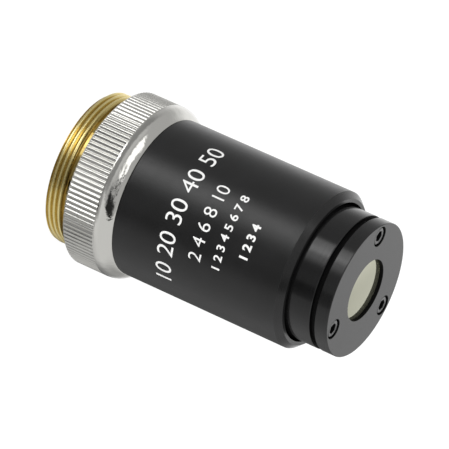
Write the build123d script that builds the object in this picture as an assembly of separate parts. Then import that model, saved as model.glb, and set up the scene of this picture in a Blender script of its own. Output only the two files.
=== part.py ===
from build123d import *
import math
import os

# A microscope objective, in millimetres. The origin is on the optical axis, in the plane of the
# mounting shoulder (the collar's back face), and +Z runs along the axis to the front lens.

os.makedirs("parts", exist_ok=True)

# Mounting thread (0.8 inch by 36 per inch) and the brass tube that carries it
thread_diameter = 20.32
thread_projection = 3.55
thread_lead_chamfer = 0.25
thread_relief_width = 1.3
thread_relief_depth = 0.62
mount_wall = 1.76
mount_spigot_step = 0.96
mount_spigot_length = 4.2
mount_mouth_chamfer = 0.4

# Knurled collar: it stands proud of the thread by the width of the mounting shoulder
shoulder_width = 1.44
collar_length = 6.85
collar_back_chamfer = 0.35
knurl_length = 4.68
knurl_teeth = 111
knurl_depth = 0.2
knurl_groove_share = 0.62
collar_spigot_length = 2.6
collar_spigot_wall = 1.2

# Outer sleeve: it is smaller than the collar by the rise of the rounded shoulder
shoulder_rise = 1.15
sleeve_length = 24.5
sleeve_wall = 0.74
sleeve_bevel_length = 0.8
sleeve_bevel_depth = 0.73
sleeve_back_chamfer = 0.08
lip_gap = 0.35
lip_depth = 3.4
nose_guide_length = 5.6

# Lens barrel that slides in the sleeve: the nose stands out by its travel and what is left when pressed
nose_step = 0.835
travel = 2.0
pressed_projection = 1.31
nose_edge_chamfer = 0.06
neck_length = 0.72
neck_depth = 0.575
flange_length = 2.5
tail_wall = 2.1
tail_lip_width = 0.6
tail_lip_length = 4.5
tail_flare = 1.4

# Front plate and its screws
plate_thickness = 1.81
plate_edge_chamfer = 0.06
aperture_lip = 1.4
aperture_wall = 0.52
screw_count = 3
screw_first_angle = 90
screw_rim_distance = 1.595
screw_bore_distance = 1.78
screw_thread_diameter = 1.52
screw_length = 3.6
screw_head_diameter = 2.3
screw_head_height = 1.1
screw_head_chamfer = 0.12
screw_socket_width = 1.27
screw_socket_depth = 0.65
screw_head_room = 0.13
clearance_hole_room = 0.09
tapped_hole_room = 0.2

# Lenses: name, edge thickness, rise of the front surface, rise of the rear surface (hollow if negative)
lens_table = [
    ("front_lens", 1.9, -0.12, 1.64),
    ("second_lens", 1.5, -0.29, 1.27),
    ("third_lens", 1.4, 0.91, 0.63),
    ("fourth_lens", 2.3, -0.61, -0.44),
    ("rear_lens", 1.6, 0.5, 0.73),
]
hollow_land_width = 0.7

# Air on the axis behind each lens but the last, and the rings that stand in that air
air_gaps = [0.9, 0.5, 7.0, 2.6]
spacer_names = [["first_spacer"], ["second_spacer"], ["third_spacer", "fourth_spacer"], ["fifth_spacer"]]
spacer_wall = 0.55
third_spacer_length = 3.4
stop_thickness = 0.35
stop_width = 1.38

# Spring, its seat, the guide pin and the rear baffle
spring_wire = 0.8
spring_wire_sides = 8
spring_turns = 4.5
spring_seat_thickness = 0.75
guide_pin_diameter = 1.2
guide_pin_engagement = 1.3
guide_pin_angle = 270
keyway_depth = 0.36
baffle_thickness = 1.2
baffle_width = 3.69
baffle_recess = 1.0
baffle_chamfer = 0.6
baffle_slot_width = 0.8
baffle_slot_depth = 0.4

# Clearances on the radius, unless they say otherwise
fixed_fit = 0.01
sliding_fit = 0.04
lens_fit = 0.02
key_side_clearance = 0.04
key_tip_clearance = 0.06
end_gap = 0.02

# Stations along the axis
collar_front = collar_length
sleeve_front = collar_front + sleeve_length
nose_front = sleeve_front + pressed_projection + travel
plate_back = nose_front + neck_length
plate_front = plate_back + plate_thickness
lens_seat = plate_front - aperture_wall
guide_front = sleeve_front - lip_depth
guide_back = guide_front - nose_guide_length
flange_back = guide_back - flange_length
spigot_front = collar_front + collar_spigot_length
seat_front = spigot_front + spring_seat_thickness

# Radii that several pieces share, from the thread outwards and then inwards
thread_radius = thread_diameter / 2
mount_bore = thread_radius - mount_wall
mount_spigot = thread_radius - mount_spigot_step
collar_radius = thread_radius + shoulder_width
knurl_root = collar_radius - knurl_depth
sleeve_radius = collar_radius - shoulder_rise
sleeve_bore = sleeve_radius - sleeve_wall
collar_spigot = sleeve_bore - fixed_fit
collar_bore = collar_spigot - collar_spigot_wall
nose_radius = sleeve_bore - nose_step
lip_radius = nose_radius + lip_gap
neck_radius = nose_radius - neck_depth
screw_circle = nose_radius - screw_rim_distance
counterbore_radius = screw_head_diameter / 2 + screw_head_room
counterbore_depth = screw_head_height + screw_head_room
cell_bore = screw_circle - screw_bore_distance
tail_radius = cell_bore + tail_wall
tail_bore = cell_bore - tail_lip_width
lens_radius = cell_bore - lens_fit
aperture_radius = cell_bore - aperture_lip


def turned(outline):
    """A solid turned from a closed outline of (radius, height) points."""
    with BuildPart() as piece:
        with BuildSketch(Plane.XZ):
            with BuildLine():
                Polyline(*outline, close=True)
            make_face()
        revolve(axis=Axis.Z)
    return piece.part


def ring(outer, inner, low, high):
    """A plain ring between two heights."""
    return turned([(inner, low), (outer, low), (outer, high), (inner, high)])


def save(node, shape):
    """Writes one node's file, with its label."""
    shape.label = node
    export_step(shape, f"parts/{node}.step")


def make_thread_mount():
    """Brass tube: thread with its lead chamfer, relief, and the spigot inside the collar."""
    rim = -thread_projection
    relief_radius = thread_radius - thread_relief_depth
    return turned([
        (mount_bore + mount_mouth_chamfer, rim),
        (thread_radius - thread_lead_chamfer, rim),
        (thread_radius, rim + thread_lead_chamfer),
        (thread_radius, -thread_relief_width),
        (relief_radius, -thread_relief_width),
        (relief_radius, 0),
        (mount_spigot, 0),
        (mount_spigot, mount_spigot_length),
        (mount_bore, mount_spigot_length),
        (mount_bore, rim + mount_mouth_chamfer),
    ])


def knurl_outline():
    """Closed outline of the knurl, with a flat tip and a V groove in each pitch."""
    pitch = 360 / knurl_teeth
    tip_half = pitch * (1 - knurl_groove_share) / 2
    corners = []
    for tooth in range(knurl_teeth):
        middle = tooth * pitch
        for radius, angle in (
            (collar_radius, middle - tip_half),
            (collar_radius, middle + tip_half),
            (knurl_root, middle + pitch / 2),
        ):
            corners.append((radius * math.cos(math.radians(angle)), radius * math.sin(math.radians(angle))))
    return corners


def make_knurled_collar():
    """Chromed collar: knurled band, rounded shoulder, and the spigot inside the sleeve."""
    with BuildPart() as core:
        with BuildSketch(Plane.XZ):
            with BuildLine():
                Polyline(
                    (sleeve_radius, collar_front),
                    (collar_spigot, collar_front),
                    (collar_spigot, spigot_front),
                    (collar_bore, spigot_front),
                    (collar_bore, mount_spigot_length),
                    (mount_spigot + fixed_fit, mount_spigot_length),
                    (mount_spigot + fixed_fit, 0),
                    (knurl_root, 0),
                    (knurl_root, knurl_length),
                    (collar_radius, knurl_length),
                )
                TangentArc((collar_radius, knurl_length), (sleeve_radius, collar_front), tangent=(0, 1))
            make_face()
        revolve(axis=Axis.Z)
        with BuildSketch(Plane.XY):
            with BuildLine():
                Polyline(*knurl_outline(), close=True)
            make_face()
            Circle(knurl_root - knurl_depth, mode=Mode.SUBTRACT)
        extrude(amount=knurl_length)
    chamfer_cut = turned([
        (collar_radius - collar_back_chamfer, 0),
        (collar_radius + collar_back_chamfer, 0),
        (collar_radius + collar_back_chamfer, 2 * collar_back_chamfer),
    ])
    return core.part - chamfer_cut


def make_outer_sleeve():
    """Black sleeve: bevelled front lip, room behind it, guide bore, main bore and keyway."""
    body = turned([
        (sleeve_bore, collar_front),
        (sleeve_radius - sleeve_back_chamfer, collar_front),
        (sleeve_radius, collar_front + sleeve_back_chamfer),
        (sleeve_radius, sleeve_front - sleeve_bevel_length),
        (sleeve_radius - sleeve_bevel_depth, sleeve_front),
        (lip_radius, sleeve_front),
        (lip_radius, guide_front),
        (nose_radius + sliding_fit, guide_front),
        (nose_radius + sliding_fit, guide_back),
        (sleeve_bore, guide_back),
    ])
    keyway_length = guide_back - collar_front
    keyway = Pos(0, 0, collar_front) * Box(
        sleeve_bore + keyway_depth,
        guide_pin_diameter + 2 * key_side_clearance,
        keyway_length,
        align=(Align.MIN, Align.CENTER, Align.MIN),
    )
    return body - Rot(0, 0, guide_pin_angle) * keyway


def guide_pin_solid(extra_radius=0.0, extra_depth=0.0):
    """The guide pin, or its hole when it is given room: it lies across the flange, towards the keyway."""
    tip = sleeve_bore + keyway_depth - key_tip_clearance
    root = sleeve_bore - sliding_fit - guide_pin_engagement - extra_depth
    pin = Rot(0, 90, 0) * Cylinder(
        guide_pin_diameter / 2 + extra_radius,
        tip - root,
        align=(Align.CENTER, Align.CENTER, Align.MIN),
    )
    return Rot(0, 0, guide_pin_angle) * Pos(root, 0, flange_back + flange_length / 2) * pin


def screw_places(height):
    """Places of the plate screws at one height."""
    step = 360 / screw_count
    return [
        Rot(0, 0, screw_first_angle + index * step) * Pos(screw_circle, 0, height)
        for index in range(screw_count)
    ]


def make_lens_barrel(stack_end):
    """Black barrel: nose, neck, flange, tail, lens bore with its rear lip, and tapped holes."""
    back = stack_end - tail_lip_length
    flange_radius = sleeve_bore - sliding_fit
    body = turned([
        (cell_bore, plate_back),
        (neck_radius, plate_back),
        (neck_radius, nose_front),
        (nose_radius - nose_edge_chamfer, nose_front),
        (nose_radius, nose_front - nose_edge_chamfer),
        (nose_radius, guide_back),
        (flange_radius, guide_back),
        (flange_radius, flange_back),
        (tail_radius, flange_back),
        (tail_radius, back),
        (tail_bore + tail_flare, back),
        (tail_bore, back + 2 * tail_flare),
        (tail_bore, stack_end),
        (cell_bore, stack_end),
    ])
    tapped_radius = screw_thread_diameter / 2 + fixed_fit
    hole_depth = screw_length - (plate_thickness - counterbore_depth) + tapped_hole_room
    for place in screw_places(plate_back):
        body -= place * Cylinder(
            tapped_radius, hole_depth, align=(Align.CENTER, Align.CENTER, Align.MAX)
        )
    return body - guide_pin_solid(fixed_fit, end_gap)


def make_front_plate():
    """Front plate: aperture, recess for the front lens, counterbored screw holes."""
    plate = turned([
        (cell_bore, plate_back),
        (nose_radius - plate_edge_chamfer, plate_back),
        (nose_radius, plate_back + plate_edge_chamfer),
        (nose_radius, plate_front - plate_edge_chamfer),
        (nose_radius - plate_edge_chamfer, plate_front),
        (aperture_radius, plate_front),
        (aperture_radius, lens_seat),
        (cell_bore, lens_seat),
    ])
    clearance_radius = screw_thread_diameter / 2 + clearance_hole_room
    for place in screw_places(plate_front):
        plate -= place * Cylinder(
            counterbore_radius, counterbore_depth, align=(Align.CENTER, Align.CENTER, Align.MAX)
        )
        plate -= place * Cylinder(
            clearance_radius, plate_thickness, align=(Align.CENTER, Align.CENTER, Align.MAX)
        )
    return plate


def make_plate_screws():
    """Hex socket cap screws, seated on the counterbore floors."""
    seat = plate_front - counterbore_depth
    head = screw_head_diameter / 2
    profile = turned([
        (0, -screw_length),
        (screw_thread_diameter / 2 - screw_head_chamfer, -screw_length),
        (screw_thread_diameter / 2, -screw_length + screw_head_chamfer),
        (screw_thread_diameter / 2, 0),
        (head, 0),
        (head, screw_head_height - screw_head_chamfer),
        (head - screw_head_chamfer, screw_head_height),
        (0, screw_head_height),
    ])
    socket = extrude(
        RegularPolygon(screw_socket_width / 2, 6, major_radius=False), amount=screw_socket_depth
    )
    screw = profile - Pos(0, 0, screw_head_height - screw_socket_depth) * socket
    return Compound(children=[place * screw for place in screw_places(seat)])


def sag(rise, rim, reach):
    """Depth out to a distance from the axis of a spherical surface that has this rise out to its rim."""
    radius = (rim * rim + rise * rise) / (2 * rise)
    return radius - math.sqrt(radius * radius - reach * reach)


def seat_rise(rise, bore):
    """How far beyond the lens's edge plane a ring of that bore touches a surface."""
    if rise < 0:
        return 0.0
    return rise - sag(rise, lens_radius, bore)


def crown(rise, bore):
    """How far the middle of a surface stands beyond the ring that touches it."""
    if rise < 0:
        return rise
    return sag(rise, lens_radius, bore)


def surface(rise, edge, direction, land):
    """Rim points, middle and tip of one lens surface; a hollow one starts inside its flat land."""
    rim = lens_radius if rise > 0 else lens_radius - land
    points = [(lens_radius, edge)] if rise > 0 else [(lens_radius, edge), (rim, edge)]
    half = math.copysign(abs(rise) - sag(abs(rise), rim, rim / 2), rise)
    return points, (rim / 2, edge + direction * half), (0, edge + direction * rise)


def make_lens(front_edge, back_edge, front_rise, rear_rise, front_land):
    """One lens between its two edge planes; a hollow side has a flat land round it."""
    front_points, front_middle, front_tip = surface(front_rise, front_edge, 1, front_land)
    back_points, back_middle, back_tip = surface(rear_rise, back_edge, -1, hollow_land_width)
    with BuildPart() as piece:
        with BuildSketch(Plane.XZ):
            with BuildLine():
                ThreePointArc(front_tip, front_middle, front_points[-1])
                Polyline(*reversed(front_points), *back_points)
                ThreePointArc(back_points[-1], back_middle, back_tip)
                Line(back_tip, front_tip)
            make_face()
        revolve(axis=Axis.Z)
    return piece.part


def make_spacers(names, level, length, bore):
    """The ring or rings between two lenses; a pair of rings holds the aperture stop between them."""
    if len(names) == 1:
        return {names[0]: ring(lens_radius, bore, level - length, level)}
    stop_front = level - third_spacer_length
    stop_back = stop_front - stop_thickness
    return {
        names[0]: ring(lens_radius, bore, stop_front, level),
        "aperture_stop": ring(lens_radius, lens_radius - stop_width, stop_back, stop_front),
        names[1]: ring(lens_radius, bore, level - length, stop_back),
    }


def make_stack():
    """Lenses and spacers from the front plate's seat backwards, and where the last one ends."""
    pieces = {}
    bore = lens_radius - spacer_wall
    front_edge = lens_seat
    for index, (name, edge, front_rise, rear_rise) in enumerate(lens_table):
        front_land = hollow_land_width if index else lens_radius - aperture_radius
        back_edge = front_edge - edge
        pieces[name] = make_lens(front_edge, back_edge, front_rise, rear_rise, front_land)
        if index == len(lens_table) - 1:
            return pieces, back_edge - seat_rise(rear_rise, tail_bore)
        next_front = lens_table[index + 1][2]
        level = back_edge - seat_rise(rear_rise, bore)
        length = air_gaps[index] + crown(rear_rise, bore) + crown(next_front, bore)
        pieces.update(make_spacers(spacer_names[index], level, length, bore))
        front_edge = level - length - seat_rise(next_front, bore)


def make_coil_spring():
    """Compression spring with ground ends, between its seat and the barrel's flange."""
    mean_radius = (tail_radius + sleeve_bore) / 2
    length = flange_back - end_gap - seat_front
    pitch = length / spring_turns
    path = Pos(0, 0, seat_front) * Helix(pitch, length, mean_radius)
    section = Plane(origin=path @ 0, z_dir=path % 0) * RegularPolygon(spring_wire / 2, spring_wire_sides)
    coil = sweep(section, path, is_frenet=True)
    slab = ring(sleeve_bore - end_gap, tail_radius + end_gap, seat_front, seat_front + length)
    return coil & slab


def make_spring_seat():
    """Flat ring that carries the spring, behind it the collar's spigot."""
    return ring(sleeve_bore - fixed_fit, tail_radius + 2 * sliding_fit, spigot_front, seat_front)


def make_rear_baffle():
    """Light baffle screwed into the mount's mouth, with two slots for a pin wrench."""
    back = -thread_projection + baffle_recess
    outer = mount_bore - fixed_fit
    bore = outer - baffle_width
    body = turned([
        (bore + baffle_chamfer, back),
        (outer, back),
        (outer, back + baffle_thickness),
        (bore, back + baffle_thickness),
        (bore, back + baffle_chamfer),
    ])
    slot = Pos(0, 0, back) * Box(
        4 * outer, baffle_slot_width, baffle_slot_depth, align=(Align.CENTER, Align.CENTER, Align.MIN)
    )
    return body - slot


stack, stack_back = make_stack()
save("thread_mount", make_thread_mount())
save("knurled_collar", make_knurled_collar())
save("outer_sleeve", make_outer_sleeve())
save("lens_barrel", make_lens_barrel(stack_back))
save("front_plate", make_front_plate())
save("plate_screws", make_plate_screws())
save("guide_pin", guide_pin_solid())
save("coil_spring", make_coil_spring())
save("spring_seat", make_spring_seat())
save("rear_baffle", make_rear_baffle())
for node, solid in stack.items():
    save(node, solid)
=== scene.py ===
import math

import bmesh
import bpy
from mathutils import Matrix, Vector


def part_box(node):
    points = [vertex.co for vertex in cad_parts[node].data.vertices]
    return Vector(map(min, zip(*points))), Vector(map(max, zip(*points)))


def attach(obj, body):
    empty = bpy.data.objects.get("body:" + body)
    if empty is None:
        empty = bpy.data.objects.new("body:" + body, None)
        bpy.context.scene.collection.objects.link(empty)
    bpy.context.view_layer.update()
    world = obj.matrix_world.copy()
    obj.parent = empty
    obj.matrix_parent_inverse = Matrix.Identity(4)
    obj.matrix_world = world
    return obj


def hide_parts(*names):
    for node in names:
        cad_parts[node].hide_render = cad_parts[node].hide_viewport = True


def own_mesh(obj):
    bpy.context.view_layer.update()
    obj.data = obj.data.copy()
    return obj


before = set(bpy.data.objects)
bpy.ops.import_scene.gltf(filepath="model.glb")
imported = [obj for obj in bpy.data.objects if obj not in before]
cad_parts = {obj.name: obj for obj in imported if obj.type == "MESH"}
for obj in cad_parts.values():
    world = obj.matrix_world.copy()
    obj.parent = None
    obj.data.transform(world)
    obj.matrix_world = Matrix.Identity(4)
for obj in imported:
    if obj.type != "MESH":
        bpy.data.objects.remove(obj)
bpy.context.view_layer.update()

MM = 0.001
TURN = 2 * math.pi

# The photograph's camera, worked out from the circles of the thread, collar, sleeve and nose.
# Pixels are those of the 449 by 449 picture; the sight angle is measured from the optical axis.
PICTURE = 449
FOCAL_PIXELS = 4476.0
PIXELS_PER_MM = 7.97
SIGHT_ANGLE = math.radians(66.41)
ROLL_ANGLE = math.radians(24.22)
ORIGIN_RIGHT_PIXELS = -110.4
ORIGIN_DOWN_PIXELS = -47.2
SCREW_TURN = math.radians(6.4)
SENSOR = 36.0

# Sizes of the pieces, in millimetres, from the same driving values as the solids
THREAD_RADIUS = 10.16
THREAD_PITCH = 25.4 / 36
THREAD_DEPTH = 0.52 * THREAD_PITCH
RIM_Z = -3.55
RELIEF_WIDTH = 1.3
RELIEF_RADIUS = THREAD_RADIUS - 0.62
LEAD_CHAMFER = 0.25
MOUNT_BORE = THREAD_RADIUS - 1.76
MOUTH_CHAMFER = 0.4
SPIGOT_RADIUS = THREAD_RADIUS - 0.96
SPIGOT_LENGTH = 4.2

COLLAR_RADIUS = THREAD_RADIUS + 1.44
COLLAR_FRONT = 6.85
COLLAR_CHAMFER = 0.35
KNURL_LENGTH = 4.68
KNURL_TEETH = 111
KNURL_DEPTH = 0.2
KNURL_STEPS = 14
COLLAR_SPIGOT_LENGTH = 2.6
COLLAR_SPIGOT_WALL = 1.2

SLEEVE_RADIUS = COLLAR_RADIUS - 1.15
SLEEVE_FRONT = COLLAR_FRONT + 24.5
SLEEVE_BORE = SLEEVE_RADIUS - 0.74
BEVEL_LENGTH = 0.8
BEVEL_DEPTH = 0.73
BACK_CHAMFER = 0.08
GUIDE_FRONT = SLEEVE_FRONT - 3.4
GUIDE_BACK = GUIDE_FRONT - 5.6
KEYWAY_DEPTH = 0.36
KEYWAY_HALF = 0.64
KEYWAY_ANGLE = math.radians(270)
SLIDING_FIT = 0.04
FIXED_FIT = 0.01

NOSE_RADIUS = SLEEVE_BORE - 0.835
LIP_RADIUS = NOSE_RADIUS + 0.35
NOSE_FRONT = SLEEVE_FRONT + 3.31
NOSE_CHAMFER = 0.06
NECK_RADIUS = NOSE_RADIUS - 0.575
PLATE_BACK = NOSE_FRONT + 0.72
PLATE_FRONT = PLATE_BACK + 1.81
PLATE_CHAMFER = 0.06
SCREW_CIRCLE = NOSE_RADIUS - 1.595
CELL_BORE = SCREW_CIRCLE - 1.78
APERTURE_RADIUS = CELL_BORE - 1.4
LENS_SEAT = PLATE_FRONT - 0.52
LENS_FIT = 0.02
LENS_EDGE = 1.9
LENS_FRONT_RISE = 0.03
LENS_BACK_RISE = 1.64
FLANGE_LENGTH = 2.5
TAIL_RADIUS = CELL_BORE + 2.1
TAIL_BORE = CELL_BORE - 0.6
TAIL_MOUTH_STEP = 1.4
TAIL_MOUTH_LENGTH = 2.8
TAIL_BORE_LENGTH = 4.5
HEAD_RADIUS = 1.15
HEAD_HEIGHT = 1.1
HEAD_ROOM = 0.13
COUNTERBORE_RADIUS = HEAD_RADIUS + HEAD_ROOM
COUNTERBORE_DEPTH = HEAD_HEIGHT + HEAD_ROOM
SOCKET_WIDTH = 1.27
SOCKET_DEPTH = 0.65
SCREW_SHANK = 0.76
SHANK_ROOM = 0.09
HOLE_CHAMFER = 0.06
HEAD_CHAMFER = 0.14
SCREW_LENGTH = 3.6

WIRE_RADIUS = 0.4
SPRING_TURNS = 4.5


def rounded(outline, radius, steps=3):
    """A closed outline whose sharp corners are small arcs, limited by the sides beside them. A point
    just beyond each end of an arc keeps the long sides' shading straight."""
    made = []
    count = len(outline)
    for index, corner in enumerate(outline):
        here = Vector(corner)
        back = Vector(outline[index - 1]) - here
        ahead = Vector(outline[(index + 1) % count]) - here
        angle = back.angle(ahead)
        if angle > math.radians(160):
            made.append(tuple(here))
            continue
        reach = min(radius / math.tan(angle / 2), 0.3 * back.length, 0.3 * ahead.length)
        beyond = min(reach + 0.03, 0.45 * back.length, 0.45 * ahead.length)
        start = here + back.normalized() * reach
        end = here + ahead.normalized() * reach
        made.append(tuple(here + back.normalized() * beyond))
        for step in range(steps + 1):
            t = step / steps
            made.append(tuple((1 - t) ** 2 * start + 2 * t * (1 - t) * here + t ** 2 * end))
        made.append(tuple(here + ahead.normalized() * beyond))
    return made


def finish_mesh(name, points, faces, sharp_angle=32):
    """A mesh object from points in millimetres, smooth except across sharp edges."""
    mesh = bpy.data.meshes.new(name)
    mesh.from_pydata([(x * MM, y * MM, z * MM) for x, y, z in points], [], faces)
    mesh.update()
    work = bmesh.new()
    work.from_mesh(mesh)
    bmesh.ops.remove_doubles(work, verts=work.verts, dist=1e-8)
    bmesh.ops.recalc_face_normals(work, faces=work.faces)
    limit = math.radians(sharp_angle)
    for face in work.faces:
        face.smooth = True
    for edge in work.edges:
        if len(edge.link_faces) == 2 and edge.calc_face_angle(0) > limit:
            edge.smooth = False
    work.to_mesh(mesh)
    work.free()
    piece = bpy.data.objects.new(name, mesh)
    bpy.context.scene.collection.objects.link(piece)
    return piece


def lathe(name, outline, angles, radius_at=None, closed=True, sharp_angle=32):
    """Turns an outline of (radius, height) points about the axis, through a list of angles or evenly.
    radius_at(index, angle, radius, height) may change a point's radius with its angle."""
    if isinstance(angles, int):
        angles = [TURN * column / angles for column in range(angles)]
    points = []
    rows = len(outline)
    for angle in angles:
        c, s = math.cos(angle), math.sin(angle)
        for index, (radius, height) in enumerate(outline):
            if radius_at:
                radius = radius_at(index, angle, radius, height)
            points.append((radius * c, radius * s, height))
    faces = []
    last = rows if closed else rows - 1
    for column in range(len(angles)):
        here, there = column * rows, (column + 1) % len(angles) * rows
        for row in range(last):
            up = (row + 1) % rows
            faces.append((here + row, there + row, there + up, here + up))
    return finish_mesh(name, points, faces, sharp_angle)


def keep_place(piece, body, node):
    """The piece rides on a body and stands for a CAD node, which it hides."""
    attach(piece, body)
    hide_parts(node)
    return piece


# Materials
class Nodes:
    """Short calls for the nodes of one tree."""

    def __init__(self, tree):
        self.tree = tree

    def add(self, kind, **values):
        node = self.tree.nodes.new(kind)
        for key, value in values.items():
            if key in node.inputs:
                node.inputs[key].default_value = value
            else:
                setattr(node, key, value)
        return node

    def link(self, output, target):
        self.tree.links.new(output, target)

    def math(self, operation, first, second=None):
        """One maths node; each input is a number or another node's output."""
        node = self.add("ShaderNodeMath", operation=operation)
        for socket, value in zip(node.inputs, (first, second)):
            if isinstance(value, (int, float)):
                socket.default_value = value
            elif value is not None:
                self.link(value, socket)
        return node.outputs[0]

    def ramp(self, source, low, high, from_low=0.0, from_high=1.0, smooth=False):
        scale = self.add("ShaderNodeMapRange")
        if smooth:
            scale.interpolation_type = "SMOOTHSTEP"
        scale.inputs["From Min"].default_value = from_low
        scale.inputs["From Max"].default_value = from_high
        scale.inputs["To Min"].default_value = low
        scale.inputs["To Max"].default_value = high
        self.link(source, scale.inputs["Value"])
        return scale.outputs["Result"]


class Shader(Nodes):
    """A node material with a principled surface."""

    def __init__(self, name, **values):
        self.material = bpy.data.materials.new(name)
        self.material.use_nodes = True
        super().__init__(self.material.node_tree)
        self.surface = self.tree.nodes["Principled BSDF"]
        for socket, value in values.items():
            self.surface.inputs[socket.replace("_", " ")].default_value = value
        self.place = self.add("ShaderNodeTexCoord").outputs["Object"]

    def noise(self, scale, detail=3.0, stretch=None, roughness=0.5):
        texture = self.add("ShaderNodeTexNoise", Scale=scale, Detail=detail, Roughness=roughness)
        source = self.place
        if stretch:
            mapping = self.add("ShaderNodeMapping")
            mapping.inputs["Scale"].default_value = stretch
            self.link(source, mapping.inputs["Vector"])
            source = mapping.outputs["Vector"]
        self.link(source, texture.inputs["Vector"])
        return texture.outputs["Fac"]

    def from_root(self, root, crest):
        """0 at the root radius of a thread or knurl, 1 at its crest, both in millimetres."""
        flat = self.add("ShaderNodeVectorMath", operation="MULTIPLY")
        self.link(self.place, flat.inputs[0])
        flat.inputs[1].default_value = (1, 1, 0)
        reach = self.add("ShaderNodeVectorMath", operation="LENGTH")
        self.link(flat.outputs["Vector"], reach.inputs[0])
        return self.ramp(reach.outputs["Value"], 0.0, 1.0, root * MM, crest * MM)

    def colour(self, source, *stops):
        band = self.add("ShaderNodeValToRGB")
        while len(band.color_ramp.elements) < len(stops):
            band.color_ramp.elements.new(0.5)
        for element, (position, value) in zip(band.color_ramp.elements, stops):
            element.position = position
            element.color = (*value, 1)
        self.link(source, band.inputs["Fac"])
        self.link(band.outputs["Color"], self.surface.inputs["Base Color"])

    def bump(self, source, distance, strength=1.0, before=None):
        bump = self.add("ShaderNodeBump")
        bump.inputs["Distance"].default_value = distance
        bump.inputs["Strength"].default_value = strength
        self.link(source, bump.inputs["Height"])
        if before:
            self.link(before, bump.inputs["Normal"])
        self.link(bump.outputs["Normal"], self.surface.inputs["Normal"])
        return bump.outputs["Normal"]


def turned_lines(shader, per_metre, distance, before=None):
    """Fine rings left by turning: bump that changes with height alone."""
    rings = shader.noise(per_metre, 2.0, (0.02, 0.02, 1.0))
    return shader.bump(rings, distance, 1.0, before)


def black_anodised(name, roughness, grain, tone=0.006, gloss=0.5):
    """Black hard-anodised aluminium: a dark, slightly patchy dye under a glossy to satin surface."""
    shader = Shader(name, Metallic=0.0, IOR=1.5)
    shader.surface.inputs["Specular IOR Level"].default_value = gloss
    patches = shader.noise(260.0, 4.0)
    shader.colour(patches, (0.3, (tone, tone, tone)), (0.75, (tone * 1.5, tone * 1.5, tone * 1.55)))
    shader.link(shader.ramp(shader.noise(900.0, 4.0), roughness - 0.05, roughness + 0.05),
                shader.surface.inputs["Roughness"])
    normal = turned_lines(shader, 9000.0, 0.000004)
    shader.bump(shader.noise(9000.0, 2.0), grain, 1.0, normal)
    return shader.material


def make_brass(name, smooth, rough, ripple_depth):
    """Turned brass, with painted shade that makes the roots of the thread darker and browner."""
    shader = Shader(name, Metallic=0.95)
    # Painted shade: the colour runs from dark brown at the thread's roots to pale gold at its crests, plus
    # random patches.
    painted_root_shade = shader.from_root(THREAD_RADIUS - THREAD_DEPTH, THREAD_RADIUS - 0.05)
    patches = shader.math("MULTIPLY", shader.noise(500.0, 4.0), 0.4)
    patches_and_root_shade = shader.math("ADD", shader.math("MULTIPLY", painted_root_shade, 0.8), patches)
    shader.colour(
        patches_and_root_shade,
        (0.2, (0.44, 0.32, 0.1)), (0.5, (0.68, 0.53, 0.2)),
        (0.85, (0.74, 0.6, 0.25)), (1.0, (0.8, 0.67, 0.31)),
    )
    shader.link(shader.ramp(shader.noise(1500.0, 3.0), smooth, rough), shader.surface.inputs["Roughness"])
    turned_lines(shader, 9000.0, 0.000002, shader.bump(shader.noise(1100.0, 2.0), ripple_depth))
    return shader.material


def make_chrome(name, bright, smooth, rough, ripple_depth, root_shade=1.0):
    """Bright plating over turned metal: slightly warm and satin, with painted shade that darkens the
    roots of the knurl and leaves its crests a little lighter."""
    shader = Shader(name, Metallic=1.0)
    patches = shader.math("MULTIPLY", shader.noise(300.0, 3.0), 0.3)
    # Painted shade: the colour darkens from the knurl's crests to its roots, plus random patches.
    crest = shader.from_root(COLLAR_RADIUS - KNURL_DEPTH, COLLAR_RADIUS)
    patches_and_root_shade = shader.math("ADD", shader.math("MULTIPLY", crest, 0.8), patches)
    low = [bright * part for part in (1.0, 0.99, 0.94)]
    high = [1.09 * part for part in low]
    shader.colour(patches_and_root_shade, (0.15, [root_shade * part for part in low]), (0.45, low), (1.0, high))
    shader.link(shader.ramp(shader.noise(1200.0, 3.0), smooth, rough), shader.surface.inputs["Roughness"])
    ripple = shader.bump(shader.noise(900.0, 3.0), ripple_depth)
    shader.bump(shader.noise(2600.0, 2.0), 0.00001, 1.0, ripple)
    return shader.material


def make_lens_glass():
    """Glass under a coating that reflects most visible light, pale greenish yellow."""
    shader = Shader("coated_glass", Roughness=0.04, Metallic=0.75, IOR=1.5)
    shader.surface.inputs["Transmission Weight"].default_value = 0.5
    shader.colour(shader.noise(90.0, 1.0), (0.3, (0.42, 0.42, 0.31)), (0.8, (0.47, 0.47, 0.36)))
    shader.bump(shader.noise(60.0, 1.0), 0.00002)
    return shader.material


def make_white_fill():
    """White paint in the engraved numbers."""
    shader = Shader("white_engraving", Roughness=0.6)
    shader.colour(shader.noise(4000.0, 3.0), (0.2, (0.78, 0.78, 0.77)), (0.8, (0.88, 0.88, 0.87)))
    shader.bump(shader.noise(12000.0, 2.0), 0.000006)
    return shader.material


def make_black_oxide():
    """Blackened steel of the screws."""
    shader = Shader("black_oxide_steel", Metallic=0.6)
    shader.colour(shader.noise(2500.0, 3.0), (0.3, (0.1, 0.1, 0.1)), (0.8, (0.17, 0.17, 0.17)))
    shader.link(shader.ramp(shader.noise(5000.0, 3.0), 0.25, 0.4), shader.surface.inputs["Roughness"])
    shader.bump(shader.noise(12000.0, 2.0), 0.00001)
    return shader.material


def make_steel():
    """Bare steel of the spring, its seat and the pin."""
    shader = Shader("plain_steel", Metallic=1.0)
    shader.colour(shader.noise(2500.0, 3.0), (0.3, (0.45, 0.45, 0.45)), (0.8, (0.6, 0.6, 0.6)))
    shader.link(shader.ramp(shader.noise(5000.0, 3.0), 0.2, 0.35), shader.surface.inputs["Roughness"])
    shader.bump(shader.noise(9000.0, 2.0), 0.00001)
    return shader.material


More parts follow.
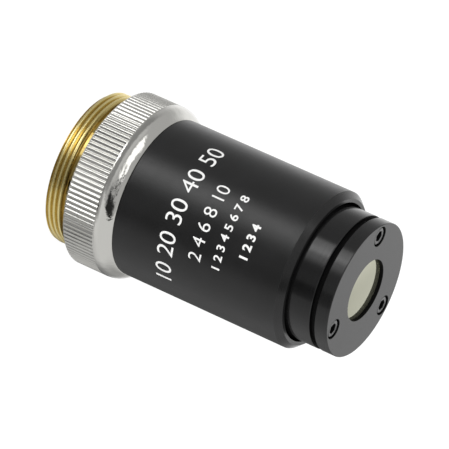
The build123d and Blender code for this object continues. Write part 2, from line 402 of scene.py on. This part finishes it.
def make_clear_glass():
    """Uncoated glass of the inner lenses."""
    shader = Shader("clear_glass", Roughness=0.02, IOR=1.5)
    shader.surface.inputs["Transmission Weight"].default_value = 0.9
    shader.colour(shader.noise(90.0, 1.0), (0.3, (0.86, 0.9, 0.84)), (0.8, (0.92, 0.95, 0.9)))
    return shader.material


def give(piece, material):
    """Gives the whole piece one material."""
    piece.data.materials.clear()
    piece.data.materials.append(material)


def give_part(piece, material, belongs, centre=(0.0, 0.0)):
    """Gives one more material to the faces that belong, by their middle's distance from a centre line
    and its height, in millimetres."""
    piece.data.materials.append(material)
    index = len(piece.data.materials) - 1
    for face in piece.data.polygons:
        middle = face.center / MM
        if belongs(math.hypot(middle.x - centre[0], middle.y - centre[1]), middle.z):
            face.material_index = index


BRASS = make_brass("turned_brass", 0.14, 0.24, 0.000004)
POLISHED_BRASS = make_brass("polished_brass", 0.04, 0.08, 0.00003)
CHROME = make_chrome("knurled_chrome", 0.72, 0.24, 0.34, 0.00001, 0.9)
POLISHED_CHROME = make_chrome("polished_chrome", 0.63, 0.05, 0.1, 0.00003)
SATIN_BLACK = black_anodised("satin_black", 0.3, 0.000008)
# Gloss black of the sliding barrel, also laid on the screw heads' rims as painted shade.
GLOSS_BLACK_AND_RIM_SHADE = black_anodised("gloss_black_and_rim_shade", 0.12, 0.000003, 0.004)
BEVEL_BLACK = black_anodised("bevel_black", 0.22, 0.000003, 0.004, 0.45)
PLATE_BLACK = black_anodised("plate_black", 0.14, 0.000003)
# Matt black of the inner spacers, baffle and stop, also laid on bore walls, grooves, sockets and counterbores
# as painted shade in those recesses.
MATT_BLACK_AND_RECESS_SHADE = black_anodised("matt_black_and_recess_shade", 0.6, 0.00002, 0.002, 0.1)
LENS_GLASS = make_lens_glass()
CLEAR_GLASS = make_clear_glass()
WHITE_FILL = make_white_fill()
BLACK_OXIDE = make_black_oxide()
STEEL = make_steel()


# Pieces
def make_thread_tube():
    """Brass tube with its real helical thread, rounded at crests and roots, and its relief."""
    rows = 96
    low = RIM_Z
    high = -RELIEF_WIDTH
    outer = [(THREAD_RADIUS, low + (high - low) * row / rows) for row in range(rows + 1)]
    outline = [(MOUNT_BORE + MOUTH_CHAMFER, low)] + outer + [
        (RELIEF_RADIUS, high),
        (RELIEF_RADIUS, 0.0),
        (SPIGOT_RADIUS, 0.0),
        (SPIGOT_RADIUS, SPIGOT_LENGTH),
        (MOUNT_BORE, SPIGOT_LENGTH),
        (MOUNT_BORE, low + MOUTH_CHAMFER),
    ]

    def radius_at(index, angle, radius, height):
        if not 1 <= index <= rows + 1:
            return radius
        phase = (height - low) / THREAD_PITCH - angle / TURN
        groove = THREAD_DEPTH * (0.5 - 0.5 * math.cos(TURN * phase)) ** 1.6
        lead = LEAD_CHAMFER - (height - low)
        return radius - max(groove, lead, 0.0)

    tube = lathe("brass_thread_tube", outline, 288, radius_at)
    give(tube, BRASS)
    near = 0.05
    give_part(
        tube, POLISHED_BRASS,
        lambda radius, height: radius < RELIEF_RADIUS + near and height > high - near,
    )
    return keep_place(tube, "housing", "thread_mount")


def shoulder_arc(steps=20):
    """Rounded shoulder of the collar, starting along the axis and ending at the sleeve's radius."""
    drop = COLLAR_RADIUS - SLEEVE_RADIUS
    length = COLLAR_FRONT - KNURL_LENGTH
    turn = 2 * math.atan(drop / length)
    radius = length / math.sin(turn)
    return [
        (
            COLLAR_RADIUS - radius * (1 - math.cos(turn * i / steps)),
            KNURL_LENGTH + radius * math.sin(turn * i / steps),
        )
        for i in range(steps + 1)
    ]


def make_collar():
    """Chromed collar: rounded teeth and grooves that run out just before the shoulder."""
    run_out = 0.08
    spigot = SLEEVE_BORE - FIXED_FIT
    outline = [
        (COLLAR_RADIUS - COLLAR_CHAMFER, 0.0),
        (COLLAR_RADIUS - 0.05, COLLAR_CHAMFER - 0.06),
        (COLLAR_RADIUS, COLLAR_CHAMFER + 0.05),
        (COLLAR_RADIUS, KNURL_LENGTH - run_out),
        (COLLAR_RADIUS, KNURL_LENGTH - 0.02),
    ] + shoulder_arc() + [
        (spigot, COLLAR_FRONT),
        (spigot, COLLAR_FRONT + COLLAR_SPIGOT_LENGTH),
        (spigot - COLLAR_SPIGOT_WALL, COLLAR_FRONT + COLLAR_SPIGOT_LENGTH),
        (spigot - COLLAR_SPIGOT_WALL, SPIGOT_LENGTH),
        (SPIGOT_RADIUS + FIXED_FIT, SPIGOT_LENGTH),
        (SPIGOT_RADIUS + FIXED_FIT, 0.0),
    ]
    columns = KNURL_TEETH * KNURL_STEPS

    def radius_at(index, angle, radius, height):
        if index > 3:
            return radius
        place = angle / TURN * KNURL_TEETH
        wave = 0.5 - 0.5 * math.cos(TURN * place)
        uneven = 0.9 + 0.12 * math.sin(12.9898 * math.floor(place + 1e-6))
        return min(radius, COLLAR_RADIUS - KNURL_DEPTH * wave * uneven)

    collar = lathe("chromed_collar", outline, columns, radius_at, sharp_angle=40)
    give(collar, CHROME)
    give_part(
        collar, POLISHED_CHROME,
        lambda radius, height: height > KNURL_LENGTH or radius < COLLAR_RADIUS - KNURL_DEPTH - 0.05,
    )
    return keep_place(collar, "housing", "knurled_collar")


def make_sleeve():
    """Black outer sleeve with its bevelled front lip round the nose, and the keyway inside."""
    outline = rounded([
        (SLEEVE_BORE, COLLAR_FRONT),
        (SLEEVE_RADIUS - BACK_CHAMFER, COLLAR_FRONT),
        (SLEEVE_RADIUS, COLLAR_FRONT + BACK_CHAMFER),
        (SLEEVE_RADIUS, SLEEVE_FRONT - BEVEL_LENGTH),
        (SLEEVE_RADIUS - BEVEL_DEPTH, SLEEVE_FRONT),
        (LIP_RADIUS, SLEEVE_FRONT),
        (LIP_RADIUS, GUIDE_FRONT),
        (NOSE_RADIUS + SLIDING_FIT, GUIDE_FRONT),
        (NOSE_RADIUS + SLIDING_FIT, GUIDE_BACK),
        (SLEEVE_BORE, GUIDE_BACK),
    ], 0.05)

    def radius_at(index, angle, radius, height):
        in_bore = abs(radius - SLEEVE_BORE) < 0.001 and height < GUIDE_BACK + 0.001
        off = abs((angle - KEYWAY_ANGLE + math.pi) % TURN - math.pi) * SLEEVE_BORE
        return radius + KEYWAY_DEPTH if in_bore and off < KEYWAY_HALF else radius

    sleeve = lathe("outer_sleeve_black", outline, 360, radius_at)
    give(sleeve, SATIN_BLACK)
    give_part(sleeve, BEVEL_BLACK, lambda radius, height: height > SLEEVE_FRONT - BEVEL_LENGTH + 0.02)
    # Painted shade: the bore walls deeper than the lip take the darker matt black.
    give_part(
        sleeve, MATT_BLACK_AND_RECESS_SHADE,
        lambda radius, height: height < SLEEVE_FRONT - 1.0 and radius < LIP_RADIUS + 0.01,
    )
    return keep_place(sleeve, "housing", "outer_sleeve")


def make_barrel():
    """Black sliding barrel: nose, neck under the front plate, flange and tail."""
    tail_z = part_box("lens_barrel")[0].z / MM
    flange = SLEEVE_BORE - SLIDING_FIT
    outline = rounded([
        (CELL_BORE, PLATE_BACK),
        (NECK_RADIUS, PLATE_BACK),
        (NECK_RADIUS, NOSE_FRONT),
        (NOSE_RADIUS - NOSE_CHAMFER, NOSE_FRONT),
        (NOSE_RADIUS, NOSE_FRONT - NOSE_CHAMFER),
        (NOSE_RADIUS, GUIDE_BACK),
        (flange, GUIDE_BACK),
        (flange, GUIDE_BACK - FLANGE_LENGTH),
        (TAIL_RADIUS, GUIDE_BACK - FLANGE_LENGTH),
        (TAIL_RADIUS, tail_z),
        (TAIL_BORE + TAIL_MOUTH_STEP, tail_z),
        (TAIL_BORE, tail_z + TAIL_MOUTH_LENGTH),
        (TAIL_BORE, tail_z + TAIL_BORE_LENGTH),
        (CELL_BORE, tail_z + TAIL_BORE_LENGTH),
    ], 0.03)
    barrel = lathe("sliding_barrel_black", outline, 320)
    give(barrel, GLOSS_BLACK_AND_RIM_SHADE)
    # Painted shade: the neck groove under the plate, the nose's front face and the bore take the darker matt
    # black.
    give_part(
        barrel, MATT_BLACK_AND_RECESS_SHADE,
        lambda radius, height: height > NOSE_FRONT - 0.01 or radius < CELL_BORE + 0.01,
    )
    return keep_place(barrel, "nose", "lens_barrel")


def make_spring():
    """Round-wire compression spring with ground ends."""
    low, high = (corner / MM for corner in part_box("coil_spring"))
    length = high.z - low.z
    reach = max(high.x, high.y, -low.x, -low.y) - WIRE_RADIUS
    climb = math.atan(length / (TURN * SPRING_TURNS * reach))
    sides = 12
    rings = round(SPRING_TURNS * 36)
    points = []
    faces = []
    for ring in range(rings + 1):
        angle = TURN * SPRING_TURNS * ring / rings
        outward = Vector((math.cos(angle), math.sin(angle), 0))
        across = Vector((math.sin(angle), -math.cos(angle), 0))
        upward = across * math.sin(climb) + Vector((0, 0, math.cos(climb)))
        middle = outward * reach + Vector((0, 0, low.z + length * ring / rings))
        for side in range(sides):
            turn = TURN * side / sides
            point = middle + (outward * math.cos(turn) + upward * math.sin(turn)) * WIRE_RADIUS
            points.append((point.x, point.y, min(max(point.z, low.z), high.z)))
            if ring < rings:
                here, beside = ring * sides + side, ring * sides + (side + 1) % sides
                faces.append((here, here + sides, beside + sides, beside))
    faces.append(tuple(range(sides)))
    faces.append(tuple(rings * sides + side for side in reversed(range(sides))))
    spring = finish_mesh("spring_wire_coil", points, faces)
    give(spring, STEEL)
    keep_place(spring, "housing", "coil_spring")
    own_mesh(spring)
    return spring


def cut(piece, cutter):
    """Cuts one closed mesh from another for good."""
    modifier = piece.modifiers.new("cut", "BOOLEAN")
    modifier.operation = "DIFFERENCE"
    modifier.solver = "EXACT"
    modifier.object = cutter
    graph = bpy.context.evaluated_depsgraph_get()
    mesh = bpy.data.meshes.new_from_object(piece.evaluated_get(graph))
    piece.modifiers.clear()
    piece.data = mesh
    bpy.data.objects.remove(cutter)


def mark_sharp(piece, angle=32):
    """Smooth faces with sharp edges where they meet steeply, and none of the slivers that cuts leave."""
    sliver = 2e-7
    work = bmesh.new()
    work.from_mesh(piece.data)
    bmesh.ops.remove_doubles(work, verts=work.verts, dist=sliver)
    bmesh.ops.dissolve_degenerate(work, edges=work.edges, dist=sliver)
    bmesh.ops.triangulate(work, faces=[face for face in work.faces if len(face.verts) > 4])
    for face in work.faces:
        face.smooth = True
    for edge in work.edges:
        edge.smooth = not (len(edge.link_faces) == 2 and edge.calc_face_angle(0) > math.radians(angle))
    work.to_mesh(piece.data)
    work.free()


def plug(name, outline, segments=48):
    """A closed turned solid from an open outline that starts and ends on the axis."""
    return lathe(name, outline, segments, closed=False)


def screw_angles():
    return [math.radians(90 + 120 * index) for index in range(3)]


def make_plate():
    """Front plate with its aperture, lens recess and three counterbored holes."""
    outline = rounded([
        (CELL_BORE, PLATE_BACK),
        (NOSE_RADIUS - PLATE_CHAMFER, PLATE_BACK),
        (NOSE_RADIUS, PLATE_BACK + PLATE_CHAMFER),
        (NOSE_RADIUS, PLATE_FRONT - PLATE_CHAMFER),
        (NOSE_RADIUS - PLATE_CHAMFER, PLATE_FRONT),
        (APERTURE_RADIUS, PLATE_FRONT),
        (APERTURE_RADIUS, LENS_SEAT),
        (CELL_BORE, LENS_SEAT),
    ], 0.03)
    plate = lathe("front_plate_black", outline, 320)
    edge = HOLE_CHAMFER
    for angle in screw_angles():
        cutter = plug("plate_cutter", [
            (0.0, PLATE_BACK - 1.0),
            (SCREW_SHANK + SHANK_ROOM, PLATE_BACK - 1.0),
            (SCREW_SHANK + SHANK_ROOM, PLATE_FRONT - COUNTERBORE_DEPTH),
            (COUNTERBORE_RADIUS, PLATE_FRONT - COUNTERBORE_DEPTH),
            (COUNTERBORE_RADIUS, PLATE_FRONT - edge),
            (COUNTERBORE_RADIUS + edge, PLATE_FRONT),
            (COUNTERBORE_RADIUS + edge, PLATE_FRONT + 0.5),
            (0.0, PLATE_FRONT + 0.5),
        ], 96)
        shift = Vector((math.cos(angle), math.sin(angle), 0)) * SCREW_CIRCLE * MM
        cutter.data.transform(Matrix.Translation(shift))
        cut(plate, cutter)
    mark_sharp(plate)
    give(plate, PLATE_BLACK)
    # Painted shade: the counterbores' walls and floors, the aperture's wall and the back face take the darker
    # matt black.
    for angle in screw_angles():
        centre = (SCREW_CIRCLE * math.cos(angle), SCREW_CIRCLE * math.sin(angle))
        give_part(
            plate, MATT_BLACK_AND_RECESS_SHADE,
            lambda reach, height: reach < COUNTERBORE_RADIUS + edge and height < PLATE_FRONT - 0.01, centre,
        )
    give_part(
        plate, MATT_BLACK_AND_RECESS_SHADE,
        lambda radius, height: radius < APERTURE_RADIUS + 0.01 or height < PLATE_BACK + 0.01,
    )
    return keep_place(plate, "nose", "front_plate")


def make_screws():
    """Three hex socket cap screws joined into one piece, each turned by its own amount."""
    work = bmesh.new()
    seat = PLATE_FRONT - COUNTERBORE_DEPTH
    for turn, angle in zip((12, 47, 28), screw_angles()):
        screw = plug("screw", [
            (0.0, -SCREW_LENGTH),
            (SCREW_SHANK - 0.12, -SCREW_LENGTH),
            (SCREW_SHANK, -SCREW_LENGTH + 0.12),
            (SCREW_SHANK, 0.0),
            (HEAD_RADIUS, 0.0),
            (HEAD_RADIUS, HEAD_HEIGHT - HEAD_CHAMFER),
            (HEAD_RADIUS - 0.05, HEAD_HEIGHT - 0.04),
            (HEAD_RADIUS - HEAD_CHAMFER, HEAD_HEIGHT),
            (0.0, HEAD_HEIGHT),
        ], 72)
        across = SOCKET_WIDTH / math.sqrt(3)
        low = HEAD_HEIGHT - SOCKET_DEPTH
        socket = plug("socket", [
            (0.0, low - 0.2), (across, low), (across, HEAD_HEIGHT - 0.05),
            (across + 0.06, HEAD_HEIGHT + 0.01), (across + 0.06, HEAD_HEIGHT + 0.5), (0.0, HEAD_HEIGHT + 0.5),
        ], 6)
        cut(screw, socket)
        mark_sharp(screw)
        give(screw, BLACK_OXIDE)
        # Painted shade: the walls of the hex socket take the darker matt black.
        give_part(
            screw, MATT_BLACK_AND_RECESS_SHADE,
            lambda radius, height: radius < across + 0.02 and 0 < height < HEAD_HEIGHT - 0.06,
        )
        # Painted shade: the head's chamfer and side take dark gloss black, so a dark ring shows all round the
        # head as the shadowed gap in the counterbore would.
        give_part(
            screw, GLOSS_BLACK_AND_RIM_SHADE,
            lambda radius, height: radius > HEAD_RADIUS - 0.13 and height < HEAD_HEIGHT - 0.01,
        )
        place = Matrix.Translation(Vector((
            math.cos(angle) * SCREW_CIRCLE * MM, math.sin(angle) * SCREW_CIRCLE * MM, seat * MM,
        )))
        screw.data.transform(place @ Matrix.Rotation(math.radians(turn), 4, "Z"))
        work.from_mesh(screw.data)
        bpy.data.objects.remove(screw)
    mesh = bpy.data.meshes.new("socket_cap_screws")
    work.to_mesh(mesh)
    work.free()
    screws = bpy.data.objects.new("socket_cap_screws", mesh)
    bpy.context.scene.collection.objects.link(screws)
    for material in (BLACK_OXIDE, MATT_BLACK_AND_RECESS_SHADE, GLOSS_BLACK_AND_RIM_SHADE):
        mesh.materials.append(material)
    return keep_place(screws, "nose", "plate_screws")


def arc_points(rise, reach, height, side, steps=16):
    """Points of a spherical surface from its rim to the axis, with its middle up or down by its rise."""
    radius = (reach * reach + rise * rise) / (2 * rise)
    made = []
    for i in range(steps + 1):
        r = reach * (1 - i / steps)
        made.append((r, height + side * (rise - radius + math.sqrt(radius * radius - r * r))))
    return made


def make_front_lens():
    """Almost flat front surface, bulging rear surface."""
    rim = CELL_BORE - LENS_FIT
    front = arc_points(LENS_FRONT_RISE, APERTURE_RADIUS, LENS_SEAT, 1)
    bulge = arc_points(LENS_BACK_RISE, rim, LENS_SEAT - LENS_EDGE, -1)
    outline = list(reversed(front)) + [(rim, LENS_SEAT)] + bulge
    lens = lathe("front_lens_glass", outline, 192, closed=False, sharp_angle=20)
    give(lens, LENS_GLASS)
    return keep_place(lens, "nose", "front_lens")


# Generic numbers where the photograph has its words: text, middle of the line and its height in
# millimetres, how far it runs round the sleeve in degrees, and how much heavier its strokes are
NUMBER_LINES = [
    ("10 20 30 40 50", 14.45, 2.3, 109, -0.004),
    ("2 4 6 8 10", 18.6, 1.8, 56, -0.004),
    ("1 2 3 4 5 6 7 8", 21.7, 1.2, 55, 0.018),
    ("1 2 3 4", 24.95, 1.25, 25, 0.035),
]
TEXT_MIDDLE = math.radians(-88) + SCREW_TURN
PAINT_TOP = SLEEVE_RADIUS + 0.005
PAINT_ROOT = SLEEVE_RADIUS - 0.03


def make_numbers():
    """Numbers cut into the sleeve and filled with white: letters sliced finely and bent round the axis."""
    work = bmesh.new()
    for text, middle_z, height, span, weight in NUMBER_LINES:
        curve = bpy.data.curves.new("number_line", "FONT")
        curve.body = text
        curve.align_x = "CENTER"
        curve.align_y = "CENTER"
        curve.resolution_u = 6
        curve.offset = weight
        curve.extrude = 0.01
        holder = bpy.data.objects.new("number_line", curve)
        bpy.context.scene.collection.objects.link(holder)
        graph = bpy.context.evaluated_depsgraph_get()
        mesh = bpy.data.meshes.new_from_object(holder.evaluated_get(graph))
        bpy.data.objects.remove(holder)
        line = bmesh.new()
        line.from_mesh(mesh)
        xs = [v.co.x for v in line.verts]
        ys = [v.co.y for v in line.verts]
        left, right, low, high = min(xs), max(xs), min(ys), max(ys)
        degrees_per_slice = 1.5
        slices = int(span / degrees_per_slice)
        for index in range(1, slices):
            cut_x = left + (right - left) * index / slices
            bmesh.ops.bisect_plane(
                line, geom=line.verts[:] + line.edges[:] + line.faces[:],
                plane_co=(cut_x, 0, 0), plane_no=(1, 0, 0),
            )
        bmesh.ops.triangulate(line, faces=line.faces)
        bmesh.ops.remove_doubles(line, verts=line.verts, dist=1e-6)
        bmesh.ops.dissolve_degenerate(line, edges=line.edges, dist=1e-6)
        for v in line.verts:
            across = (v.co.x - (left + right) / 2) / (right - left) * math.radians(span)
            up = (v.co.y - (low + high) / 2) / (high - low) * height
            angle = TEXT_MIDDLE - across
            radius = PAINT_TOP if v.co.z > 0 else PAINT_ROOT
            v.co = Vector((radius * math.cos(angle), radius * math.sin(angle), middle_z - up)) * MM
        line.to_mesh(mesh)
        line.free()
        work.from_mesh(mesh)
    bmesh.ops.recalc_face_normals(work, faces=work.faces)
    mesh = bpy.data.meshes.new("engraved_numbers")
    work.to_mesh(mesh)
    work.free()
    numbers = bpy.data.objects.new("engraved_numbers", mesh)
    bpy.context.scene.collection.objects.link(numbers)
    give(numbers, WHITE_FILL)
    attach(numbers, "housing")
    return numbers


make_thread_tube()
make_collar()
make_sleeve()
make_barrel()
make_spring()
make_plate()
make_screws()
make_front_lens()
make_numbers()

for node, material in {
    "rear_baffle": MATT_BLACK_AND_RECESS_SHADE,
    "spring_seat": STEEL,
    "guide_pin": STEEL,
    "second_lens": CLEAR_GLASS,
    "third_lens": CLEAR_GLASS,
    "fourth_lens": CLEAR_GLASS,
    "rear_lens": CLEAR_GLASS,
    "first_spacer": MATT_BLACK_AND_RECESS_SHADE,
    "second_spacer": MATT_BLACK_AND_RECESS_SHADE,
    "third_spacer": MATT_BLACK_AND_RECESS_SHADE,
    "aperture_stop": MATT_BLACK_AND_RECESS_SHADE,
    "fourth_spacer": MATT_BLACK_AND_RECESS_SHADE,
    "fifth_spacer": MATT_BLACK_AND_RECESS_SHADE,
}.items():
    give(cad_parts[node], material)


# Camera
def camera_axes():
    """Right, up and backward directions of the camera, in the object's frame."""
    c, s = math.cos(SIGHT_ANGLE), math.sin(SIGHT_ANGLE)
    along = Vector((0, c, s))
    across = Vector((1, 0, 0))
    backward = Vector((0, -s, c))
    right = math.cos(ROLL_ANGLE) * along - math.sin(ROLL_ANGLE) * across
    up = -(math.sin(ROLL_ANGLE) * along + math.cos(ROLL_ANGLE) * across)
    turn = Matrix.Rotation(SCREW_TURN, 3, "Z")
    return turn @ right, turn @ up, turn @ backward


RIGHT, UP, BACKWARD = camera_axes()


def make_camera():
    data = bpy.data.cameras.new("photo_camera")
    data.sensor_width = SENSOR
    data.lens = FOCAL_PIXELS / PICTURE * SENSOR
    data.clip_start = 0.01
    data.clip_end = 20
    camera = bpy.data.objects.new("photo_camera", data)
    bpy.context.scene.collection.objects.link(camera)
    distance = FOCAL_PIXELS / PIXELS_PER_MM * MM
    side = ORIGIN_RIGHT_PIXELS / PIXELS_PER_MM * MM
    down = ORIGIN_DOWN_PIXELS / PIXELS_PER_MM * MM
    place = BACKWARD * distance - RIGHT * side + UP * down
    turn = Matrix((RIGHT, UP, BACKWARD)).transposed().to_4x4()
    camera.matrix_world = Matrix.Translation(place) @ turn
    bpy.context.scene.camera = camera


make_camera()


# Light and floor. The studio is described once, by compass angle and height above the horizon as the
# camera's own frame has them: -90 degrees is the camera's side.
def azimuth_of(nodes, vector):
    """Compass angle in degrees, turned so that the camera is at -90."""
    split = nodes.add("ShaderNodeSeparateXYZ")
    nodes.link(vector, split.inputs["Vector"])
    angle = nodes.math("ARCTAN2", split.outputs["Y"], split.outputs["X"])
    degrees = nodes.math("SUBTRACT", nodes.math("MULTIPLY", angle, 360 / TURN), math.degrees(SCREW_TURN))
    return degrees, split


def hump(nodes, angle, middle, half_width, flat=0.0):
    """1 within the flat part round a middle angle, falling smoothly to 0 at the half width."""
    turned = nodes.math("MODULO", nodes.math("ADD", angle, 900.0 - middle), 360.0)
    off = nodes.math("ABSOLUTE", nodes.math("SUBTRACT", turned, 180.0))
    return nodes.ramp(off, 1.0, 0.0, flat, half_width, True)


def sum_of(nodes, base, parts):
    """Adds weighted outputs to a number or output."""
    total = base
    for weight, output in parts:
        total = nodes.math("ADD", total, nodes.math("MULTIPLY", output, weight))
    return nodes.math("MAXIMUM", total, 0.0)


def make_world():
    """The studio as polished parts mirror it: white backdrop, grey tent, white card on the right, soft
    box on the left with the dark gear beside it, and the table. The camera itself sees plain white."""
    world = bpy.data.worlds.new("studio")
    bpy.context.scene.world = world
    world.use_nodes = True
    nodes = Nodes(world.node_tree)
    place = nodes.add("ShaderNodeTexCoord").outputs["Generated"]
    azimuth, split = azimuth_of(nodes, place)
    height = nodes.math("MULTIPLY", nodes.math("ARCSINE", split.outputs["Z"]), 360 / TURN)
    mottle = nodes.add("ShaderNodeTexNoise", Scale=9.0, Detail=2.0, Roughness=0.6)
    nodes.link(place, mottle.inputs["Vector"])
    mottle = mottle.outputs["Fac"]

    def product(first, *others):
        for other in others:
            first = nodes.math("MULTIPLY", first, other)
        return first

    def rise(source, start, end):
        return nodes.ramp(source, 0.0, 1.0, start, end, True)

    def fall(source, start, end):
        return nodes.ramp(source, 1.0, 0.0, start, end, True)

    def band(source, low, high, soft):
        return product(rise(source, low - soft, low + soft), fall(source, high - soft, high + soft))

    def patch(middle, half_width, low, high, soft_side, soft_edge, level=height):
        across = hump(nodes, azimuth, middle, half_width + soft_side, half_width - soft_side)
        return product(across, band(level, low, high, soft_edge))

    # White backdrop behind, brighter near the table, and a panel whose edge the front plate shows
    backdrop = product(hump(nodes, azimuth, 100, 56, 20), fall(height, 12.0, 36.0))
    edge = nodes.math("ADD", azimuth, nodes.math("MULTIPLY", height, 0.54))
    panel = product(rise(edge, 101.6, 103.8), fall(azimuth, 106.0, 120.0), band(height, 12.0, 40.0, 5.0))
    # Gear and soft box break up where they meet, so the edge of each wanders with the mottle
    ragged = nodes.math("ADD", height, nodes.math("MULTIPLY", nodes.math("SUBTRACT", mottle, 0.5), 34.0))
    speckled = product(rise(mottle, 0.5, 0.56), patch(-86, 26, 24, 60, 10, 5))
    tent = sum_of(nodes, 0.55, [
        (0.6, backdrop),
        (0.4, panel),
        (0.12, patch(-126, 38, 4, 17, 10, 3)),
        (-0.24, product(hump(nodes, azimuth, -130, 75, 45), fall(height, -4.0, 6.0))),
        (1.2, patch(-125, 34, 25, 54, 5, 2, ragged)),
    ])
    gear = nodes.math("SUBTRACT", azimuth, nodes.math("MULTIPLY", height, 0.75))
    dark = sum_of(nodes, 0.0, [
        (0.95, product(hump(nodes, gear, -72, 26, 12), band(height, 14.0, 58.0, 6.0))),
        (0.8, speckled),
    ])
    left = product(tent, nodes.math("SUBTRACT", 1.0, nodes.math("MINIMUM", dark, 0.95)))
    # White card on the right, dimmer towards its far end and near the table
    card = sum_of(nodes, 0.82, [
        (-0.4, product(rise(azimuth, 22.0, 52.0), nodes.ramp(height, 1.0, 0.15, 8.0, 32.0, True))),
        (-0.14, product(rise(azimuth, -24.0, 6.0), fall(height, -20.0, 0.0))),
        (-0.42, product(hump(nodes, azimuth, -56, 30, 12), fall(height, -16.0, -6.0))),
    ])
    on_card = product(rise(gear, -64.0, -60.0), fall(azimuth, 62.0, 86.0))
    sky = sum_of(nodes, left, [(1.0, product(on_card, nodes.math("SUBTRACT", card, left)))])

    # Table: pool of light from the soft box, backdrop's light beyond the object, gear's dark stand
    table = sum_of(nodes, 0.45, [
        (2.2, hump(nodes, azimuth, -125, 16, 7)),
        (1.5, hump(nodes, azimuth, -112, 20, 4)),
        (0.7, product(hump(nodes, azimuth, 108, 50), rise(azimuth, 84.0, 97.0))),
        (-0.28, hump(nodes, azimuth, 78, 46, 8)),
        (0.18, hump(nodes, azimuth, 8, 42)),
        (-0.3, hump(nodes, azimuth, -49, 15, 9)),
        (-0.2, hump(nodes, azimuth, -70, 34, 14)),
    ])
    lower = fall(height, -22.0, -18.0)
    mirrored = sum_of(nodes, sky, [(1.0, product(lower, nodes.math("SUBTRACT", table, sky)))])
    path = nodes.add("ShaderNodeLightPath")
    direct = nodes.math("MAXIMUM", path.outputs["Is Camera Ray"], path.outputs["Is Transmission Ray"])
    strength = sum_of(nodes, mirrored, [(1.0, product(direct, nodes.math("SUBTRACT", 1.0, mirrored)))])
    background = nodes.tree.nodes["Background"]
    background.inputs["Color"].default_value = (1, 1, 1, 1)
    nodes.link(strength, background.inputs["Strength"])


def make_lamp(name, azimuth, elevation, distance, size, power):
    """A soft lamp at a compass angle and height, aimed at the middle of the object. Mirrors don't show
    it, because the tent and its soft box already stand for every light that they do show."""
    data = bpy.data.lights.new(name, "AREA")
    data.shape = "RECTANGLE"
    data.size, data.size_y = size
    data.energy = power
    lamp = bpy.data.objects.new(name, data)
    bpy.context.scene.collection.objects.link(lamp)
    lamp.visible_glossy = False
    turn = math.radians(azimuth) + SCREW_TURN
    rise = math.radians(elevation)
    way = Vector((math.cos(rise) * math.cos(turn), math.cos(rise) * math.sin(turn), math.sin(rise)))
    lamp.location = Vector((0, 0, 0.5 * PLATE_FRONT * MM)) + way * distance
    lamp.rotation_mode = "QUATERNION"
    lamp.rotation_quaternion = (-way).to_track_quat("-Z", "Y")


def make_floor():
    """White floor that keeps a faint shadow of the object."""
    half = 1.5
    mesh = bpy.data.meshes.new("floor")
    z = RIM_Z * MM
    corners = [(-half, -half, z), (half, -half, z), (half, half, z), (-half, half, z)]
    mesh.from_pydata(corners, [], [(0, 1, 2, 3)])
    floor = bpy.data.objects.new("floor", mesh)
    bpy.context.scene.collection.objects.link(floor)
    floor.visible_glossy = False
    shader = Shader("white_floor", Base_Color=(0.8, 0.8, 0.8, 1), Roughness=0.9)
    shader.surface.inputs["Specular IOR Level"].default_value = 0.0
    path = shader.add("ShaderNodeLightPath")
    seen = shader.add("ShaderNodeEmission", Strength=1.2)
    lit = shader.add("ShaderNodeMixShader", Fac=0.75)
    shader.link(shader.surface.outputs[0], lit.inputs[1])
    shader.link(seen.outputs[0], lit.inputs[2])
    direct = shader.math("MAXIMUM", path.outputs["Is Camera Ray"], path.outputs["Is Transmission Ray"])
    surface = shader.add("ShaderNodeMixShader")
    shader.link(direct, surface.inputs[0])
    shader.link(shader.surface.outputs[0], surface.inputs[1])
    shader.link(lit.outputs[0], surface.inputs[2])
    shader.link(surface.outputs[0], shader.tree.nodes["Material Output"].inputs["Surface"])
    mesh.materials.append(shader.material)


make_world()
make_floor()
make_lamp("key", -120, 35, 0.5, (0.35, 0.35), 1.0)
make_lamp("fill", -30, 20, 0.5, (0.3, 0.3), 1.0)

scene = bpy.context.scene
scene.view_settings.view_transform = "Standard"
